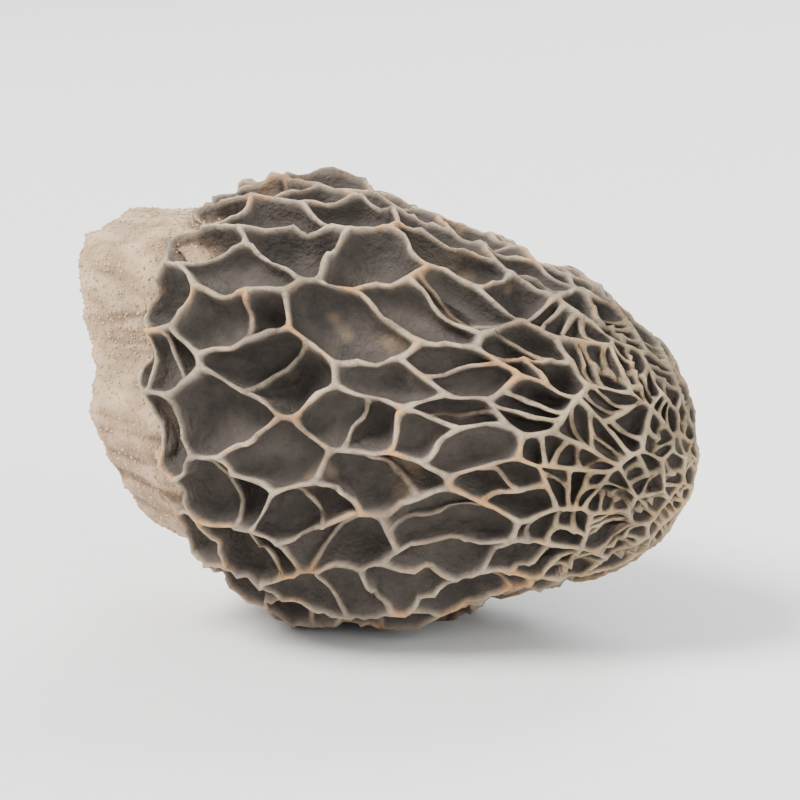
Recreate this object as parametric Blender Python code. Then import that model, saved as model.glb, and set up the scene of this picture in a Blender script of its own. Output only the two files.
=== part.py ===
"""A dried morel mushroom: one hollow piece, a pitted cap on the stub of its stem, lying on its side.

The morel is shaped straight, on the X axis, with the middle of the cap's foot at the origin and the tip at +X.
It is then bent and crumpled as drying does, and laid on the plane z = 0.
"""

import math
import random

import bmesh
import bpy
import numpy as np
from mathutils import Euler, Vector, noise

MM = 0.001

# Cap: the surface that the crests of the ridges lie on. It is widest at the belly.
CAP_LENGTH = 26.0 * MM
CAP_RADIUS = 11.5 * MM
BELLY = 0.27  # share of the cap's length from its foot to the belly
FOOT_SHAPE = (3.3, 0.36)  # a blunt, squarish foot
TIP_SHAPE = (1.7, 0.58)  # a rounded cone
PROFILE_STEPS = 400

# Pits.
PIT_COUNT = 224
PIT_SCATTER = 0.27  # share of the distance between pits by which a pit strays
PIT_STRETCH = 0.50  # how much longer the pits are at the belly than at the tip
PIT_DEPTH = 2.2 * MM
PIT_DEPTH_SPREAD = 0.2
PIT_DEPTH_TO_WIDTH = 1.0
WALL_SLOPE = 0.17  # share of the pit's half width that its wall leans in by
SEED = 20

# Ridges, the net between the pits.
RIDGE_THICKNESS = 0.55 * MM
SHOULDER_TO_WIDTH = 0.3  # the most of a small pit's half width that a ridge takes up
CREST_FALL = 0.14 * MM  # how far a ridge's shoulders lie below its crest
SHORTEST_RIDGE = 0.40 * MM
RIDGE_WAVER = 0.55 * MM  # how far the corners of the net stand in or out
WAVER_PITCH = 5.3  # how fast that changes from one corner to the next
WAVER_PLACE = Vector((9.0, 4.0, 2.0))

# Stem stub.
STEM_RADIUS = 8.1 * MM
STEM_STUB = 2.2 * MM  # from the cap's foot to the cut end
STEM_ROOT = 7.0 * MM  # how far the stem runs into the cap
STEM_INNER_END = 0.86  # its radius there, as a share of STEM_RADIUS
STEM_FOOT = 0.9 * MM  # just inside the cap's foot
STEM_SPREAD = 1.08  # how much wider the stem is inside the cap, where it closes the pits that its stub covers
STEM_CURL = 0.08  # how far the cut end curls in, as a share of the stem's radius
LOBES = ((3, 0.075, 0.6), (5, 0.07, 2.1), (8, 0.045, 0.3))  # waves round the stem, their height, their phase
CUT_WAVER = 1.0 * MM  # how uneven the cut is
CUT_WAVER_PITCH = 1.7
CUT_SLANT = 0.14  # how far the cut leans back above the stem's middle
SEGMENTS = 36

# The hollow that runs from the cut end nearly to the tip.
WALL = 1.3 * MM
PAST_CUT = 3.0 * MM
MOUTH_FLARE = 0.3  # share of the wall by which the mouth is wider
HOLLOW_RINGS = 9
HOLLOW_TIP_WALL = 2.2 * MM  # how much thicker the wall is at the tip
HOLLOW_TIP_RADIUS = 1.2 * MM
HOLLOW_FURROWS = 0.25

# Drying.
BEND = -0.13  # radians over the morel's length
SLANT = 0.21  # how far the foot leans back above the morel's middle, fading towards the tip
FLATTENING = 0.05
LUMP_HEIGHT = 0.75 * MM
LUMP_SIZE = 9.0 * MM
LUMP_PLACES = (Vector((3.1, 7.7, 1.3)), Vector((8.4, 2.9, 6.6)), Vector((5.2, 9.5, 4.8)))

# How it lies: tip down a little, with the crests underneath pressed flat.
PITCH = math.radians(5.0)
UNDERSIDE_PRESS = 0.9 * MM

SMOOTH_ANGLE = math.radians(35.0)
FLESH_COLOUR = (0.11, 0.082, 0.062)
FLESH_ROUGHNESS = 0.8


def cap_profile():
    """Points (distance from the tip, radius) along the cap's side from tip to foot, and the length run so far."""
    along = (1 - np.cos(np.linspace(0.0, math.pi, PROFILE_STEPS))) / 2
    from_belly = np.where(along < 1 - BELLY, 1 - along / (1 - BELLY), (along - 1 + BELLY) / BELLY).clip(0, 1)
    tip = (1 - from_belly ** TIP_SHAPE[0]) ** TIP_SHAPE[1]
    foot = (1 - from_belly ** FOOT_SHAPE[0]) ** FOOT_SHAPE[1]
    radius = CAP_RADIUS * np.where(along < 1 - BELLY, tip, foot)
    points = np.column_stack((along * CAP_LENGTH, radius))
    run = np.concatenate(([0.0], np.cumsum(np.linalg.norm(np.diff(points, axis=0), axis=1))))
    return points, run


PROFILE, PROFILE_RUN = cap_profile()


def on_cap(direction):
    """The place on the cap for a direction from the middle of a sphere whose pole +X is the tip."""
    fall = math.acos(max(-1.0, min(1.0, direction.x))) / math.pi
    share = fall - PIT_STRETCH * math.sin(2 * math.pi * fall) / (2 * math.pi)
    run = share * PROFILE_RUN[-1]
    from_tip = np.interp(run, PROFILE_RUN, PROFILE[:, 0])
    radius = np.interp(run, PROFILE_RUN, PROFILE[:, 1])
    turn = math.atan2(direction.z, direction.y)
    return Vector((CAP_LENGTH - from_tip, radius * math.cos(turn), radius * math.sin(turn)))


def pit_directions():
    """The middles of the pits as directions: an even spiral over the sphere, each then strayed a little."""
    strays = random.Random(SEED)
    golden_angle = math.pi * (3 - math.sqrt(5))
    stray = PIT_SCATTER * math.sqrt(4 * math.pi / PIT_COUNT)
    middles = []
    for i in range(PIT_COUNT):
        along = 1 - (2 * i + 1) / PIT_COUNT
        across = math.sqrt(1 - along * along)
        turn = i * golden_angle
        middle = Vector((along, across * math.cos(turn), across * math.sin(turn)))
        middle += Vector([strays.gauss(0, stray) for _ in range(3)])
        middles.append(middle.normalized())
    return middles


def pit_cells():
    """A closed mesh with one face for each pit: the net of ridges halfway between the pits' middles.

    The convex hull of points on a sphere joins neighbours, and each of its triangles points at one corner of the
    net. Triangles and corners are put in order, so that the net is the same each time.
    """
    middles = pit_directions()
    hull = bmesh.new()
    for middle in middles:
        hull.verts.new(middle)
    hull.verts.index_update()
    bmesh.ops.convex_hull(hull, input=hull.verts)
    triangles = sorted(sorted(vertex.index for vertex in face.verts) for face in hull.faces)
    hull.free()
    cells = bmesh.new()
    corners_round = [[] for _ in middles]
    for triangle in triangles:
        first, second, third = [middles[i] for i in triangle]
        pointing = (second - first).cross(third - first).normalized()
        if pointing.dot(first) < 0:
            pointing = -pointing
        place = on_cap(pointing)
        outward = Vector((0.0, place.y, place.z)).normalized()
        waver = noise.noise(pointing * WAVER_PITCH + WAVER_PLACE)
        corner = cells.verts.new(place + outward * waver * RIDGE_WAVER)
        for i in triangle:
            corners_round[i].append((pointing, corner))
    for middle, corners in zip(middles, corners_round):
        side = middle.orthogonal().normalized()
        other = middle.cross(side)
        corners.sort(key=lambda item: math.atan2(item[0].dot(other), item[0].dot(side)))
        cells.faces.new([corner for _, corner in corners])
    bmesh.ops.remove_doubles(cells, verts=cells.verts, dist=SHORTEST_RIDGE)
    cells.normal_update()
    return cells


def draw_in(cells, cell, share, fall):
    """Puts a smaller copy of a cell inside it, lower by fall, and joins the two all round."""
    middle = cell.calc_center_median_weighted()
    down = cell.normal * fall
    bmesh.ops.inset_individual(cells, faces=[cell], thickness=0.0)
    for corner in cell.verts:
        corner.co = corner.co.lerp(middle, share) - down


def add_cap():
    """The cap as a solid: each cell of the net is drawn in to leave a ridge, then sunk to make its pit."""
    cells = pit_cells()
    depths = random.Random(SEED)
    for pit in list(cells.faces):
        half_width = math.sqrt(pit.calc_area() / math.pi)
        depth = min(PIT_DEPTH, PIT_DEPTH_TO_WIDTH * half_width)
        depth *= depths.uniform(1 - PIT_DEPTH_SPREAD, 1)
        shoulder = min(RIDGE_THICKNESS / 2 / half_width, SHOULDER_TO_WIDTH)
        draw_in(cells, pit, shoulder, CREST_FALL)
        draw_in(cells, pit, WALL_SLOPE, depth - CREST_FALL)
    return object_from(cells, "morel")


def lobed(turn):
    """How far the stem's furrows carry its wall out or in, as a share of its radius."""
    return sum(height * math.cos(waves * turn + phase) for waves, height, phase in LOBES)


def loft(rings, name):
    """A closed solid through rings of SEGMENTS points each, with a flat end at the first and the last."""
    mesh = bmesh.new()
    rows = [[mesh.verts.new(point) for point in ring] for ring in rings]
    for row, next_row in zip(rows, rows[1:]):
        for i in range(SEGMENTS):
            j = (i + 1) % SEGMENTS
            mesh.faces.new((row[i], row[j], next_row[j], next_row[i]))
    mesh.faces.new(rows[0][::-1])
    mesh.faces.new(rows[-1])
    bmesh.ops.recalc_face_normals(mesh, faces=mesh.faces)
    return object_from(mesh, name)


def ring(x, radius, furrows=1.0, waver=0.0):
    """A ring round the X axis: furrows is how much of the stem's lobes it shows, waver how uneven its edge is."""
    points = []
    for i in range(SEGMENTS):
        turn = 2 * math.pi * i / SEGMENTS
        out = radius * (1 + furrows * lobed(turn))
        y = out * math.cos(turn)
        z = out * math.sin(turn)
        uneven = waver * noise.noise(Vector((math.cos(turn), math.sin(turn), 0)) * CUT_WAVER_PITCH)
        lean = CUT_SLANT * z * waver / CUT_WAVER
        points.append((x + uneven - lean, y, z))
    return points


def add_stem():
    """The stub of the stem, from inside the cap to the wavering cut where it was picked."""
    return loft(
        [
            ring(STEM_ROOT, STEM_INNER_END * STEM_RADIUS, furrows=0.4),
            ring(PIT_DEPTH + WALL, STEM_SPREAD * STEM_RADIUS),
            ring(STEM_FOOT, STEM_SPREAD * STEM_RADIUS),
            ring(-0.35 * STEM_STUB, STEM_RADIUS * (1 + STEM_CURL / 3)),
            ring(-0.75 * STEM_STUB, STEM_RADIUS, waver=CUT_WAVER / 2),
            ring(-STEM_STUB, STEM_RADIUS * (1 - STEM_CURL), waver=CUT_WAVER),
        ],
        "stem_stub",
    )


def add_hollow():
    """The hollow: the stem's bore, widening under the pits and closing before the tip."""
    mouth = STEM_RADIUS * (1 - STEM_CURL) - (1 - MOUTH_FLARE) * WALL
    rings = [
        ring(-STEM_STUB - PAST_CUT, mouth),
        ring(-0.75 * STEM_STUB, STEM_RADIUS - WALL),
        ring(STEM_FOOT, STEM_RADIUS - WALL, furrows=0.8),
    ]
    under_pits = PIT_DEPTH + WALL
    first = STEM_ROOT / 2
    last = CAP_LENGTH - under_pits - HOLLOW_TIP_WALL
    for step in range(HOLLOW_RINGS):
        x = first + (last - first) * math.sin(math.pi / 2 * step / (HOLLOW_RINGS - 1))
        crest = np.interp(CAP_LENGTH - x, PROFILE[:, 0], PROFILE[:, 1])
        furrows = HOLLOW_FURROWS * (1 - step / HOLLOW_RINGS)
        rings.append(ring(x, max(crest - under_pits, HOLLOW_TIP_RADIUS), furrows=furrows))
    return loft(rings, "hollow")


def dried(point):
    """Where a point of the straight, fresh shape ends up: slanted, flattened, lumpy and bent."""
    x, y, z = point
    z *= 1 - FLATTENING
    y *= 1 + FLATTENING / 3
    x -= SLANT * z * (1 - x / CAP_LENGTH)
    here = Vector((x, y, z)) / LUMP_SIZE
    x, y, z = [
        along + LUMP_HEIGHT * noise.noise(here + place) for along, place in zip((x, y, z), LUMP_PLACES)
    ]
    swing = BEND * (x / CAP_LENGTH)
    return Vector((x - y * math.sin(swing), y * math.cos(swing) + x * swing / 2, z))


def object_from(mesh, name):
    data = bpy.data.meshes.new(name)
    mesh.to_mesh(data)
    mesh.free()
    made = bpy.data.objects.new(name, data)
    bpy.context.scene.collection.objects.link(made)
    return made


def add_boolean(body, other, operation):
    """MANIFOLD, because where neighbouring pits meet under a ridge EXACT leaves the stem out."""
    cut = body.modifiers.new(f"{operation.lower()}_{other.name}", "BOOLEAN")
    cut.operation = operation
    cut.object = other
    cut.solver = "MANIFOLD"
    other.hide_render = True
    other.display_type = "WIRE"


def lay_down(points):
    """Dried points turned to how the morel lies, set on z = 0 with its underside pressed a little flat."""
    turned = Euler((0.0, PITCH, 0.0)).to_matrix()
    laid = np.array([turned @ dried(point) for point in points])
    laid -= (laid.max(axis=0) + laid.min(axis=0)) / 2
    laid[:, 2] -= laid[:, 2].min() + UNDERSIDE_PRESS
    laid[:, 2] = laid[:, 2].clip(0)
    return laid


def material(name, colour, roughness):
    made = bpy.data.materials.new(name)
    made.use_nodes = True
    shader = made.node_tree.nodes["Principled BSDF"]
    shader.inputs["Base Color"].default_value = (*colour, 1.0)
    shader.inputs["Roughness"].default_value = roughness
    shader.inputs["Metallic"].default_value = 0.0
    return made


def main():
    for old in list(bpy.data.objects):
        bpy.data.objects.remove(old)

    morel = add_cap()
    stem = add_stem()
    hollow = add_hollow()
    add_boolean(morel, stem, "UNION")
    add_boolean(morel, hollow, "DIFFERENCE")

    graph = bpy.context.evaluated_depsgraph_get()
    whole = bpy.data.meshes.new_from_object(morel.evaluated_get(graph))
    morel.modifiers.clear()
    morel.data = whole
    points = [vertex.co for vertex in whole.vertices]
    whole.vertices.foreach_set("co", lay_down(points).ravel())
    whole.update()
    whole.shade_smooth()
    whole.set_sharp_from_angle(angle=SMOOTH_ANGLE)
    whole.materials.clear()
    whole.materials.append(material("dried_flesh", FLESH_COLOUR, FLESH_ROUGHNESS))
    bpy.data.objects.remove(stem)
    bpy.data.objects.remove(hollow)


main()
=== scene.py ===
"""A dried morel mushroom on a pale floor: a cap of thin ridges round deep pits, on the stub of its hollow stem.

The morel is shaped straight, on the X axis, with the middle of the cap's foot at the origin and the tip at +X.
It is then bent and crumpled as drying does, and laid where the frame's morel lies.
"""

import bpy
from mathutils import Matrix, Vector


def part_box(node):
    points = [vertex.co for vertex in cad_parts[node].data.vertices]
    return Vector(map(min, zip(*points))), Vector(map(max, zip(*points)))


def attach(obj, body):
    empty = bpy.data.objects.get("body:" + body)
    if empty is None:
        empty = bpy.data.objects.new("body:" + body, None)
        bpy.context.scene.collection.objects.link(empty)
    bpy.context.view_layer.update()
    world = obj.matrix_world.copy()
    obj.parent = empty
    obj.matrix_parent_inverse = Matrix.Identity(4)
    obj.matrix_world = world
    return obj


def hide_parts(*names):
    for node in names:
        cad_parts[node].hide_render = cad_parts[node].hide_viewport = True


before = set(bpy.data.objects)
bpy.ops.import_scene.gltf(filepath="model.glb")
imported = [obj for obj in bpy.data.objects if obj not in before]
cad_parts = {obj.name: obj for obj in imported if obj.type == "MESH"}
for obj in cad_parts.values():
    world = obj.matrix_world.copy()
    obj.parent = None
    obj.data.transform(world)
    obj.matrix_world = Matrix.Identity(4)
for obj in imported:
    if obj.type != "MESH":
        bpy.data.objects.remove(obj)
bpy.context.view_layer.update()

import math
import random

import bmesh
import bpy
import numpy as np
from mathutils import Euler, Vector, noise
from mathutils.bvhtree import BVHTree
from mathutils.kdtree import KDTree

MM = 0.001

# Cap: the surface that the crests of the ridges lie on. It is widest at the belly.
CAP_LENGTH = 26.0 * MM
CAP_RADIUS = 11.5 * MM
BELLY = 0.27
FOOT_SHAPE = (3.3, 0.36)
TIP_SHAPE = (1.7, 0.58)
PROFILE_STEPS = 400

# Pits, and the net of ridges between them.
PIT_COUNT = 224
PIT_SCATTER = 0.27
PIT_STRETCH = 0.50
PIT_DEPTH = 2.2 * MM
PIT_DEPTH_SPREAD = 0.2
DEEPEST_PIT = 2.35 * MM
SHALLOWEST_PIT = 0.55  # this and the next as a share of the pit's half-width
STEEPEST_PIT = 1.55
DEPTH_CHANCE = (0.85, 1.1)
PIT_RINGS = 7
FLOOR_SHRINK = (0.16, 0.34)
FLOOR_LEVELLING = 0.7
FLOOR_DEPTH = 0.86
FLOOR_TILT = 0.22
MIDDLE_DEPTH = (0.98, 1.12)
SEED = 20
SHORTEST_RIDGE = 0.40 * MM
RIDGE_WAVER = 0.55 * MM
WAVER_PITCH = 5.3
WAVER_PLACE = Vector((9.0, 4.0, 2.0))
RIDGE_STEP = 0.38 * MM  # spacing of the points along a ridge
RIDGE_THICKNESS = 0.22 * MM
RIDGE_UNEVENNESS = 0.7  # how much the thickness varies, as a share of it
WIDEST_SHOULDER = 0.18  # half a ridge's thickness at most, as a share of the pit's half-width
SHOULDER_DROP = 0.07 * MM
SHOULDER_EVENNESS = 0.25
JAG_HEIGHT = 0.09 * MM
JAG_SIZE = 0.5 * MM
RIDGE_SAG = 0.16  # how far a crest dips between its ends, as a share of its length
SAG_SIZE = 1.1 * MM
SAG_LEAST = 0.5
SAG_SWING = 0.9
DIP_BLUNTNESS = 0.35
HIGHEST_CREST = 0.05 * MM
CREST_PARTS = 4  # samples of the crest between two of its points

# How a ridge wanders between its ends. A ridge shorter than SWAY_LENGTH wanders less.
RIDGE_SWAY = 0.34 * MM
RIDGE_SWAY_SIZE = 1.5 * MM
FINE_SWAY_RATE = 2.7
FINE_SWAY = 0.45
SWAY_LENGTH = 2.4 * MM
SWAY_GAIN = 1.6
SWAY_FALL = 1.6
SWAY_BLUNTNESS = 0.6

# Lower ridges, which split pits: how a crossing is chosen, and how far a crest dips, as a share of PIT_DEPTH.
SHORTEST_CROSSING = 0.9  # as a share of the pit's half-width
OFF_MIDDLE_COST = 1.6
LONG_EDGE_GAIN = 0.4
CROSSING_ENDS = (0.4, 0.6)
CROSSING_TILT = 0.6
DIP_FADE = 0.75  # how much of its pale colour a dipped crest loses

# Where pits are split, as shares of the cap's length from its foot, how often, and the smallest half-width.
TIP_START = 0.70
TIP_CROWDED = 0.87
TIP_GRADING = 4 * MM
TIP_CHANCE = 0.9
TIP_SMALLEST = (0.5 * MM, 0.62 * MM, 0.62 * MM)
TIP_DIPS = (0.03, 0.24)
MIDDLE_START = 0.55
MIDDLE_CHANCE = 0.75
MIDDLE_SMALLEST = 0.8 * MM
MIDDLE_DIPS = (0.12, 0.5)
FOOT_CHANCE = 0.34
FOOT_SMALLEST = 1.1 * MM
FOOT_DIPS = (0.14, 0.5)

# Stem stub.
STEM_RADIUS = 8.1 * MM
STEM_STUB = 2.2 * MM
STEM_CURL = 0.08
STEM_SPREAD = 1.08
WALL = 1.3 * MM
LOBES = ((3, 0.075, 0.6), (5, 0.07, 2.1), (8, 0.045, 0.3))
CUT_WAVER = 1.0 * MM
CUT_WAVER_PITCH = 1.7
CUT_SLANT = 0.14
CUT_DISH = 0.12 * MM
TORN_HEIGHT = 0.35 * MM
TORN_PITCH = 9
RIB_HEIGHT = 0.75  # in millimetres, as the next one is
FINE_RIB_HEIGHT = 0.28
RIB_PITCH = 5.5
FINE_RIB_PITCH = 17
RIB_RUN = 6 * MM
FINE_RIB_RUN = 2.2 * MM
STEM_RIBS = 0.5
STEM_ROWS = ((7.0 * MM, 1.0 * MM, 12), (0.8 * MM, -STEM_STUB, 18))  # each: from, to, how many
STEM_END_SHARES = (0.97, 0.93, 0.88, 0.82, 0.76, 0.70, 0.4)
# Each ring: place along X, radius as a share of STEM_RADIUS, furrows, unevenness of the cut.
STEM_RINGS = (
    (7.0 * MM, 0.86, 0.4, 0.0),
    (3.5 * MM, STEM_SPREAD, 1.0, 0.0),
    (0.9 * MM, STEM_SPREAD, 1.0, 0.0),
    (-0.35 * STEM_STUB, 1 + STEM_CURL / 3, 1.0, 0.0),
    (-0.75 * STEM_STUB, 1.0, 1.0, 0.5),
    (-0.92 * STEM_STUB, 1 - STEM_CURL / 2, 1.0, 0.9),
    (-STEM_STUB, 1 - 1.5 * STEM_CURL, 1.0, 1.0),
)
ROUND = 200  # points round the stem and the hollow
SLIVER = 0.001 * MM  # edges shorter than this are dropped after the booleans

# Hollow.
HOLLOW_FIRST = 3.5 * MM  # where it starts to follow the cap's profile
HOLLOW_END_WALL = 2.2 * MM
MOUTH_WALL = 0.7 * WALL
BORE_FURROWS = 0.25
HOLLOW_STEPS = 8
HOLLOW_ROWS = 62
BACK_HEIGHT = 0.55 * MM  # how far the back of a pit stands out into the hollow
BACK_SIZE = 1.3 * MM
LINING_RIB_HEIGHT = 0.30  # in millimetres, as the next one is
LINING_FINE_HEIGHT = 0.13
NARROWEST_HOLLOW = 0.5 * MM

# Drying, and how the morel lies.
BEND = -0.13
SLANT = 0.21
FLATTENING = 0.05
LUMP_HEIGHT = 0.75 * MM
LUMP_SIZE = 9.0 * MM
LUMP_PLACES = (Vector((3.1, 7.7, 1.3)), Vector((8.4, 2.9, 6.6)), Vector((5.2, 9.5, 4.8)))
PITCH = math.radians(5.0)
PRESS_SOFTNESS = 0.12 * MM

# Reach of what is stored on the flesh.
ON_SURFACE = 0.02 * MM
CREST_WIDTH = 0.05 * MM
CREST_FADE = 0.22 * MM
JUNCTION_REACH = 1.1 * MM
SUNK_REACH = 2.2 * MM
BULGE_REACH = 0.06 * MM

# Colours, darker and lighter where there are two.
PIT_COLOURS = ((0.040, 0.033, 0.028), (0.086, 0.070, 0.058))
# Painted shade: darker colours for the pit walls and floors far from the crests.
PIT_SHADE_COLOURS = ((0.034, 0.028, 0.024), (0.078, 0.063, 0.052))
WARM_FLOOR = (0.27, 0.185, 0.11)
PIT_DUST = (0.13, 0.105, 0.085)
CREST_COLOURS = ((0.255, 0.195, 0.140), (0.42, 0.33, 0.230))
CREST_TAN = (0.47, 0.26, 0.115)
TIP_COLOURS = ((0.26, 0.19, 0.105), (0.43, 0.33, 0.19))
STEM_COLOURS = ((0.27, 0.165, 0.090), (0.47, 0.33, 0.205))
# Painted shade in the stem's furrows, darker where the surface curves in.
STEM_FURROW_SHADE = (0.13, 0.070, 0.036)
STEM_DUST = (0.54, 0.41, 0.28)
LINING_COLOURS = ((0.33, 0.245, 0.165), (0.47, 0.375, 0.275))
# Painted shade in the lining's furrows, darker where the surface curves in.
LINING_FURROW_SHADE = (0.17, 0.11, 0.065)
MEAL_COLOURS = ((0.34, 0.22, 0.13), (0.56, 0.43, 0.30))
FLOOR_COLOURS = ((0.80, 0.80, 0.79), (0.84, 0.84, 0.83))

# Relief that is too fine for the mesh.
BUMP_STRENGTH = 0.8
BUMP_DISTANCE = 0.11 * MM

# Studio. Each light: name, place from the middle of the morel, size, power, colour.
LIGHTS = (
    ("key", (-0.45, -0.40, 0.75), 0.50, 21.0, (1.0, 0.985, 0.96)),
    ("fill", (0.75, -0.55, 0.40), 0.75, 6.5, (0.96, 0.98, 1.0)),
    ("back", (0.05, 0.80, 0.65), 0.60, 10.0, (1.0, 1.0, 1.0)),
)
WORLD_COLOUR = (0.93, 0.95, 0.97, 1.0)
WORLD_STRENGTH = 0.95
FLOOR_HALF = 1.5
CAMERA_AZIMUTH = math.radians(19.0)
CAMERA_ELEVATION = math.radians(11.0)
CAMERA_DISTANCE = 0.135
CAMERA_LENS = 125.0


def cap_profile():
    """Points (distance from the tip, radius) along the cap's side, tip to foot, and the length run so far."""
    along = (1 - np.cos(np.linspace(0.0, math.pi, PROFILE_STEPS))) / 2
    from_belly = np.where(along < 1 - BELLY, 1 - along / (1 - BELLY), (along - 1 + BELLY) / BELLY).clip(0, 1)
    tip = (1 - from_belly ** TIP_SHAPE[0]) ** TIP_SHAPE[1]
    foot = (1 - from_belly ** FOOT_SHAPE[0]) ** FOOT_SHAPE[1]
    radius = CAP_RADIUS * np.where(along < 1 - BELLY, tip, foot)
    points = np.column_stack((along * CAP_LENGTH, radius))
    run = np.concatenate(([0.0], np.cumsum(np.linalg.norm(np.diff(points, axis=0), axis=1))))
    return points, run


PROFILE, PROFILE_RUN = cap_profile()


def on_cap(direction):
    """The place on the cap for a direction from the middle of a sphere whose pole +X is the tip."""
    fall = math.acos(max(-1.0, min(1.0, direction.x))) / math.pi
    share = fall - PIT_STRETCH * math.sin(2 * math.pi * fall) / (2 * math.pi)
    run = share * PROFILE_RUN[-1]
    from_tip = np.interp(run, PROFILE_RUN, PROFILE[:, 0])
    radius = np.interp(run, PROFILE_RUN, PROFILE[:, 1])
    turn = math.atan2(direction.z, direction.y)
    return Vector((CAP_LENGTH - from_tip, radius * math.cos(turn), radius * math.sin(turn)))


def pit_directions():
    """The middles of the pits as directions: an even spiral over the sphere, each then strayed a little."""
    strays = random.Random(SEED)
    golden_angle = math.pi * (3 - math.sqrt(5))
    stray = PIT_SCATTER * math.sqrt(4 * math.pi / PIT_COUNT)
    middles = []
    for i in range(PIT_COUNT):
        along = 1 - (2 * i + 1) / PIT_COUNT
        across = math.sqrt(1 - along * along)
        turn = i * golden_angle
        middle = Vector((along, across * math.cos(turn), across * math.sin(turn)))
        middle += Vector([strays.gauss(0, stray) for _ in range(3)])
        middles.append(middle.normalized())
    return middles


def pit_cells():
    """A closed mesh with one face for each pit: the net of ridges halfway between the pits' middles."""
    middles = pit_directions()
    hull = bmesh.new()
    for middle in middles:
        hull.verts.new(middle)
    hull.verts.index_update()
    bmesh.ops.convex_hull(hull, input=hull.verts)
    triangles = sorted(sorted(vertex.index for vertex in face.verts) for face in hull.faces)
    hull.free()
    cells = bmesh.new()
    corners_round = [[] for _ in middles]
    for triangle in triangles:
        first, second, third = [middles[i] for i in triangle]
        pointing = (second - first).cross(third - first).normalized()
        if pointing.dot(first) < 0:
            pointing = -pointing
        place = on_cap(pointing)
        outward = Vector((0.0, place.y, place.z)).normalized()
        waver = noise.noise(pointing * WAVER_PITCH + WAVER_PLACE)
        corner = cells.verts.new(place + outward * waver * RIDGE_WAVER)
        for i in triangle:
            corners_round[i].append((pointing, corner))
    for middle, corners in zip(middles, corners_round):
        side = middle.orthogonal().normalized()
        other = middle.cross(side)
        corners.sort(key=lambda item: math.atan2(item[0].dot(other), item[0].dot(side)))
        cells.faces.new([corner for _, corner in corners])
    bmesh.ops.remove_doubles(cells, verts=cells.verts, dist=SHORTEST_RIDGE)
    cells.normal_update()
    return cells


def half_width(cell):
    return math.sqrt(cell.calc_area() / math.pi)


def cross_ridge(cells, cell, wanted, lowered, dip_range, dice):
    """Splits a cell with a lower ridge between two of its edges, as nearly along wanted as its shape allows."""
    middle = cell.calc_center_median_weighted()
    width = half_width(cell)
    best = None
    edges = list(cell.edges)
    for i, first in enumerate(edges):
        for second in edges[i + 1:]:
            start = (first.verts[0].co + first.verts[1].co) / 2
            end = (second.verts[0].co + second.verts[1].co) / 2
            chord = end - start
            if chord.length < SHORTEST_CROSSING * width:
                continue
            away = (middle - start).cross(chord.normalized()).length / width
            short = min(first.calc_length(), second.calc_length()) / width
            score = abs(chord.normalized().dot(wanted)) - OFF_MIDDLE_COST * away
            score += LONG_EDGE_GAIN * min(short, 1.0)
            if best is None or score > best[0]:
                best = (score, first, second)
    if best is None:
        return
    ends = []
    for edge in best[1:]:
        share = dice.uniform(*CROSSING_ENDS)
        lowering = edge[lowered]
        new_edge, vertex = bmesh.utils.edge_split(edge, edge.verts[0], share)
        new_edge[lowered] = lowering
        ends.append(vertex)
    _, loop = bmesh.utils.face_split(cell, ends[0], ends[1])
    loop.edge[lowered] = dice.uniform(*dip_range)


def all_cells():
    """The net of the frame's morel, with lower ridges across and along some pits and many near the tip."""
    cells = pit_cells()
    depth = cells.faces.layers.float.new("pit_depth")
    lowered = cells.edges.layers.float.new("lowered")
    depths = random.Random(SEED)
    for pit in list(cells.faces):
        pit[depth] = min(PIT_DEPTH, half_width(pit)) * depths.uniform(1 - PIT_DEPTH_SPREAD, 1)
    dice = random.Random(SEED + 1)
    for crumpling, smallest in enumerate(TIP_SMALLEST):
        cells.normal_update()
        for cell in list(cells.faces):
            middle = cell.calc_center_median_weighted()
            share = middle.x / CAP_LENGTH
            size = half_width(cell)
            lengthwise = Vector((1.0, 0.0, 0.0))
            sideways = cell.normal.cross(lengthwise).normalized()
            luck = dice.random()
            tilt = dice.uniform(-CROSSING_TILT, CROSSING_TILT)
            if share > TIP_START:
                wanted = (lengthwise * tilt + sideways * (luck - 0.4)).normalized()
                if luck < TIP_CHANCE and size > smallest + max(0.0, TIP_CROWDED - share) * TIP_GRADING:
                    cross_ridge(cells, cell, wanted, lowered, TIP_DIPS, dice)
            elif share > MIDDLE_START:
                if crumpling == 0 and luck < MIDDLE_CHANCE and size > MIDDLE_SMALLEST:
                    wanted = (lengthwise + sideways * tilt / 2).normalized()
                    cross_ridge(cells, cell, wanted, lowered, MIDDLE_DIPS, dice)
            elif crumpling == 0 and luck < FOOT_CHANCE and size > FOOT_SMALLEST:
                wanted = (sideways + lengthwise * tilt).normalized()
                cross_ridge(cells, cell, wanted, lowered, FOOT_DIPS, dice)
    cells.normal_update()
    return cells, depth, lowered


def swayed(place, share, length):
    """A point of a ridge, a share of the way between its ends, wandered sideways."""
    free = math.sin(math.pi * share) ** SWAY_BLUNTNESS
    drift = Vector([noise.noise(place / RIDGE_SWAY_SIZE + shift) for shift in LUMP_PLACES])
    fine = Vector([noise.noise(place / RIDGE_SWAY_SIZE * FINE_SWAY_RATE + shift) for shift in LUMP_PLACES])
    reach = min(1.0, length / SWAY_LENGTH) ** SWAY_FALL
    return place + (drift * RIDGE_SWAY + fine * RIDGE_SWAY * FINE_SWAY) * free * reach * SWAY_GAIN


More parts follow.
